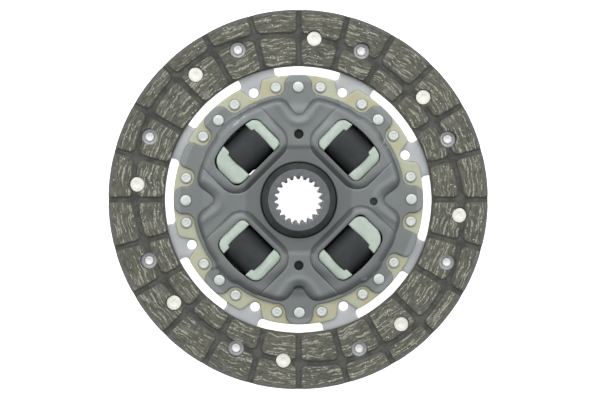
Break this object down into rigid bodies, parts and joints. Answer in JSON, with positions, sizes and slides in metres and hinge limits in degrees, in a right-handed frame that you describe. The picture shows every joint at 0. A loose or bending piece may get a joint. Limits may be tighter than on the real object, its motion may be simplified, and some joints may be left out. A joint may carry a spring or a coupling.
{
  "type": "clutch disc",
  "caption": "Dry clutch disc with riveted friction facings on a sprung steel segment ring, a splined hub and rubber torsion dampers in plate windows.",
  "frame": {"origin": "on the hub's axis, in the middle plane of the cushion segments", "axes": "+Z along the hub's axis towards the cover plate's side, +X and +Y in the disc's plane, the damper windows halfway between them"},
  "size_m": [0.2, 0.2, 0.027],
  "materials": {
    "facing": "woven yarn in resin, matt",
    "facing_rivet_steel": "satin",
    "cushion_steel": "satin",
    "disc_plate_steel": "pale plated, satin",
    "cover_plate_steel": "phosphated grey, satin",
    "plate_rivet_steel": "satin",
    "hub_steel": "machined, satin",
    "rubber": "smooth, satin",
    "seat_plastic": "satin",
    "friction_plastic": "matt",
    "ring_steel": "satin"
  },
  "bodies": {
    "disc": {"front_facing": "facing", "rear_facing": "facing", "front_facing_rivets": "facing_rivet_steel", "rear_facing_rivets": "facing_rivet_steel", "cushion_segment_1": "cushion_steel", "cushion_segment_2": "cushion_steel", "cushion_segment_3": "cushion_steel", "cushion_segment_4": "cushion_steel", "cushion_segment_5": "cushion_steel", "cushion_segment_6": "cushion_steel", "cushion_segment_7": "cushion_steel", "cushion_segment_8": "cushion_steel", "disc_plate": "disc_plate_steel", "cover_plate": "cover_plate_steel", "segment_rivets": "plate_rivet_steel", "ear_rivets": "plate_rivet_steel", "rubber_1": "rubber", "rubber_2": "rubber", "rubber_3": "rubber", "rubber_4": "rubber", "seats_1": "seat_plastic", "seats_2": "seat_plastic", "seats_3": "seat_plastic", "seats_4": "seat_plastic", "front_friction_ring": "friction_plastic", "thrust_ring": "ring_steel", "cone_spring": "ring_steel", "guide_bush": "friction_plastic"},
    "hub": {"hub": "hub_steel"}
  },
  "joints": [
    {"name": "hub_twist", "type": "hinge", "parent": "disc", "child": "hub", "pos_m": [0, 0, 0], "axis": [0, 0, 1], "range_deg": [-6, 6], "stiffness_Nm_per_rad": 1000, "deforming": ["rubber_1", "rubber_2", "rubber_3", "rubber_4", "seats_1", "seats_2", "seats_3", "seats_4"]}
  ]
}
